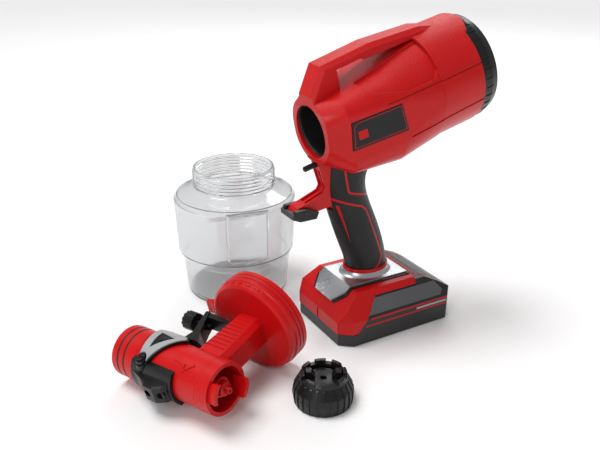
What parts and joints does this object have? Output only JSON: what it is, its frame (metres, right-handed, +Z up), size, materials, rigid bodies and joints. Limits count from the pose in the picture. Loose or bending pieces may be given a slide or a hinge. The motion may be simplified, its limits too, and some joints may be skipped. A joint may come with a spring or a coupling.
{
  "type": "cordless paint sprayer",
  "caption": "Cordless turbine paint sprayer taken apart: pistol-grip power unit on a slide-in battery, spray head with trigger, clear container and ribbed union nut.",
  "frame": {"origin": "middle of the flat underside of the battery that the power unit stands on", "axes": "+X to the rear of the power unit, -X the way it sprays; +Y to the side away from the badge; +Z up"},
  "size_m": [0.3423, 0.2928, 0.2711],
  "materials": {
    "red_plastic": "satin, finely textured",
    "black_plastic": "satin",
    "grip_rubber": "textured",
    "inner_plastic": "matt",
    "badge_black": "satin",
    "bright_metal": "polished",
    "steel": "machined",
    "black_steel": "blackened",
    "winding": "enamelled wire",
    "aluminium": "turned",
    "brass": "turned",
    "foam": "open-cell foam",
    "battery_grey": "fine texture",
    "bar_grey": "satin",
    "cell_wrap": "shrink wrap",
    "circuit": "lacquered board",
    "seal_rubber": "smooth",
    "plate_grey": "satin",
    "clear_plastic": "clear, moulded"
  },
  "bodies": {
    "power_unit": {"housing_near": "red_plastic", "housing_far": "red_plastic", "housing_screws": "steel", "badge": "badge_black", "outlet_socket": "inner_plastic", "motor_duct": "inner_plastic", "motor_can": "steel", "motor_stator": "steel", "motor_coils": "winding", "bearings": "steel", "fan_case_front": "inner_plastic", "diffuser": "inner_plastic", "fan_case_rear": "inner_plastic", "air_filter": "foam", "plunger_spring": "steel", "switch_carrier": "inner_plastic", "micro_switch": "inner_plastic", "grip_near": "grip_rubber", "grip_far": "grip_rubber", "foot_trim": "black_plastic", "foot_plate": "bright_metal", "latch_pin": "black_steel", "terminal_block": "inner_plastic", "control_board": "circuit"},
    "rotor": {"motor_armature": "steel", "motor_shaft": "steel", "first_impeller": "aluminium", "second_impeller": "aluminium"},
    "filter_cover": {"filter_cover": "black_plastic"},
    "plunger": {"switch_plunger": "black_plastic"},
    "latch": {"latch_clip": "black_plastic"},
    "battery": {"battery_base": "battery_grey", "battery_top": "battery_grey", "battery_screws": "steel", "battery_cells": "cell_wrap", "cell_holder": "inner_plastic", "battery_board": "circuit", "battery_bars": "bar_grey", "battery_trim": "red_plastic", "release_spring": "steel"},
    "battery_release": {"battery_release": "inner_plastic"},
    "head": {"head_body": "red_plastic", "nozzle_body": "brass", "fluid_nozzle": "red_plastic", "spring_seat": "inner_plastic", "needle_spring": "steel", "needle_packing": "seal_rubber", "o_rings": "seal_rubber", "lid_gasket": "seal_rubber", "suction_socket": "inner_plastic", "head_bracket": "black_plastic", "head_screws": "black_steel"},
    "trigger": {"trigger": "black_plastic", "trigger_plates": "plate_grey"},
    "needle": {"needle": "steel"},
    "flow_knob": {"flow_knob": "black_plastic"},
    "union_nut": {"union_nut": "black_plastic", "cap_seal": "seal_rubber"},
    "air_cap": {"air_cap": "black_plastic"},
    "container": {"container": "clear_plastic"}
  },
  "joints": [
    {"name": "turbine_spin", "type": "hinge", "parent": "power_unit", "child": "rotor", "pos_m": [-0.071, 0, 0.187], "axis": [0.9681, 0, 0.2504], "continuous": true},
    {"name": "filter_cover_pull", "type": "slide", "parent": "power_unit", "child": "filter_cover", "axis": [0.9681, 0, 0.2504], "range_m": [0, 0.03]},
    {"name": "plunger_press", "type": "slide", "parent": "power_unit", "child": "plunger", "axis": [0.9681, 0, 0.2504], "range_m": [0, 0.004], "stiffness_N_per_m": 400, "deforming": ["plunger_spring"]},
    {"name": "latch_swing", "type": "hinge", "parent": "power_unit", "child": "latch", "pos_m": [-0.082, 0, 0.1216], "axis": [0, 1, 0], "range_deg": [0, 21], "stiffness_Nm_per_rad": 0.05},
    {"name": "battery_slide", "type": "slide", "parent": "power_unit", "child": "battery", "axis": [1, 0, 0], "range_m": [0, 0.11]},
    {"name": "release_press", "type": "slide", "parent": "battery", "child": "battery_release", "axis": [-1, 0, 0], "range_m": [0, 0.003], "stiffness_N_per_m": 500, "deforming": ["release_spring"]},
    {"name": "head_lift", "type": "slide", "parent": "power_unit", "child": "head", "axis": [0, 0, 1], "range_m": [0, 0.15]},
    {"name": "trigger_pull", "type": "hinge", "parent": "head", "child": "trigger", "pos_m": [-0.22993, -0.0251, 0.0214], "axis": [-0.2072, -0.0054, 0.9783], "range_deg": [0, 7.5], "stiffness_Nm_per_rad": 0.4, "deforming": ["needle_spring"]},
    {"name": "needle_draw", "type": "slide", "parent": "head", "child": "needle", "axis": [-0.3924, 0.9165, -0.0781], "range_m": [0, 0.0023]},
    {"name": "flow_knob_turn", "type": "hinge", "parent": "trigger", "child": "flow_knob", "pos_m": [-0.17577, 0.01545, 0.0331], "axis": [-0.3924, 0.9165, -0.0781], "range_deg": [0, 270]},
    {"name": "union_nut_lift", "type": "slide", "parent": "power_unit", "child": "union_nut", "axis": [0, 0, 1], "range_m": [0, 0.08]},
    {"name": "air_cap_turn", "type": "hinge", "parent": "union_nut", "child": "air_cap", "pos_m": [-0.112, -0.0915, 0.018], "axis": [0, 0, 1], "range_deg": [-90, 90]},
    {"name": "container_lift", "type": "slide", "parent": "power_unit", "child": "container", "axis": [0, 0, 1], "range_m": [0, 0.15]}
  ],
  "couplings": [
    {"joint": "needle_draw", "follows": "trigger_pull", "m_per_rad": 0.017}
  ]
}
